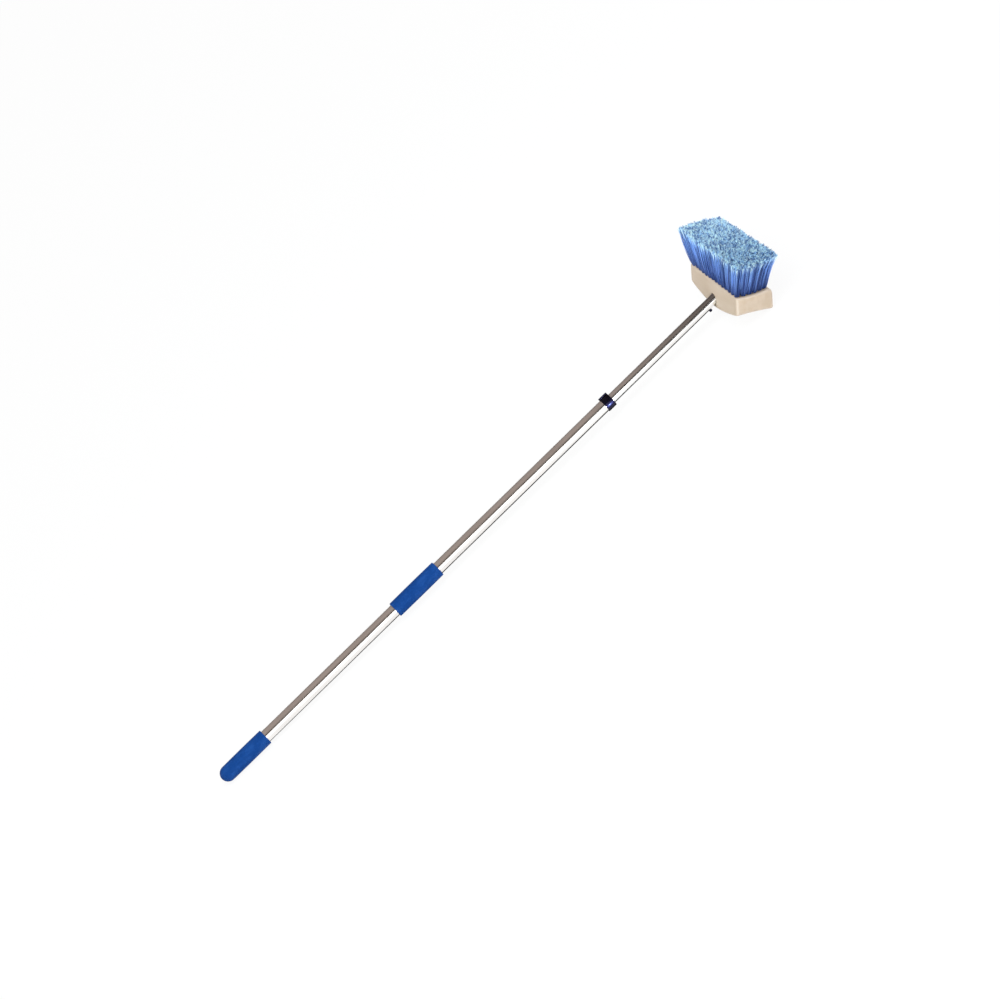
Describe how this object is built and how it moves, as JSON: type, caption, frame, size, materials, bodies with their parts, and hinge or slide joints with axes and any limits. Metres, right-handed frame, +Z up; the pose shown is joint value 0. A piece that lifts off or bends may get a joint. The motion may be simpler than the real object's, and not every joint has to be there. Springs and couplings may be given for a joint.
{
  "type": "telescoping car wash brush",
  "caption": "Telescoping aluminium pole with soft grips and a twist lock, carrying a moulded brush block with dense flared bristles at an angle on its end.",
  "frame": {"origin": "on the floor, under the middle of the brush's length, half way across it", "axes": "+X along the brush from the bottom grip towards the head, +Z up with the bristles uppermost, +Y across the brush, to the left when looking from the grip to the head"},
  "size_m": [1.7922, 0.2778, 0.1812],
  "materials": {
    "outer_aluminium": "polished, drawn along its length",
    "inner_aluminium": "polished, drawn along its length",
    "grip_vinyl": "satin blue foamed vinyl",
    "black_nylon": "moulded, matt",
    "white_nylon": "moulded, satin",
    "collar_black": "glossy moulding",
    "zinc_steel": "zinc plated",
    "block_foam": "cream structural foam, soft sheen",
    "bristle_blue": "blue filaments with paler split tips"
  },
  "bodies": {
    "outer": {"outer_tube": "outer_aluminium", "end_plug": "black_nylon", "bottom_grip": "grip_vinyl", "mid_grip": "grip_vinyl", "guide_bush": "white_nylon", "guide_collar": "collar_black", "collar_screw": "zinc_steel"},
    "expander": {"expander_sleeve": "white_nylon"},
    "cone": {"cone_nut": "black_nylon"},
    "inner": {"inner_tube": "inner_aluminium", "tube_plug": "black_nylon", "plug_pin": "zinc_steel", "lock_stud": "zinc_steel", "stop_nut": "zinc_steel", "button_spring": "zinc_steel", "tip_fitting": "black_nylon", "tip_pin": "zinc_steel", "brush_block": "block_foam", "trim_row_1": "bristle_blue", "trim_row_2": "bristle_blue", "trim_row_3": "bristle_blue", "trim_row_4": "bristle_blue", "trim_row_5": "bristle_blue", "trim_row_6": "bristle_blue"},
    "button": {"snap_button": "collar_black"}
  },
  "joints": [
    {"name": "telescope", "type": "slide", "parent": "outer", "child": "expander", "axis": [0.9997, 0, 0.0228], "range_m": [-0.31, 0.504]},
    {"name": "lock_twist", "type": "hinge", "parent": "expander", "child": "inner", "pos_m": [0.73659, 0, 0.05709], "axis": [0.9997, 0, 0.0228], "range_deg": [-360, 0]},
    {"name": "cone_travel", "type": "slide", "parent": "expander", "child": "cone", "axis": [0.9997, 0, 0.0228], "range_m": [-0.0031, 0]},
    {"name": "button_press", "type": "slide", "parent": "inner", "child": "button", "axis": [-0.0182, 0.6018, 0.7984], "range_m": [0, 0.0058], "stiffness_N_per_m": 600, "springref_m": -0.004, "deforming": ["button_spring"]}
  ],
  "couplings": [
    {"joint": "cone_travel", "follows": "lock_twist", "m_per_rad": 0.00047746}
  ]
}
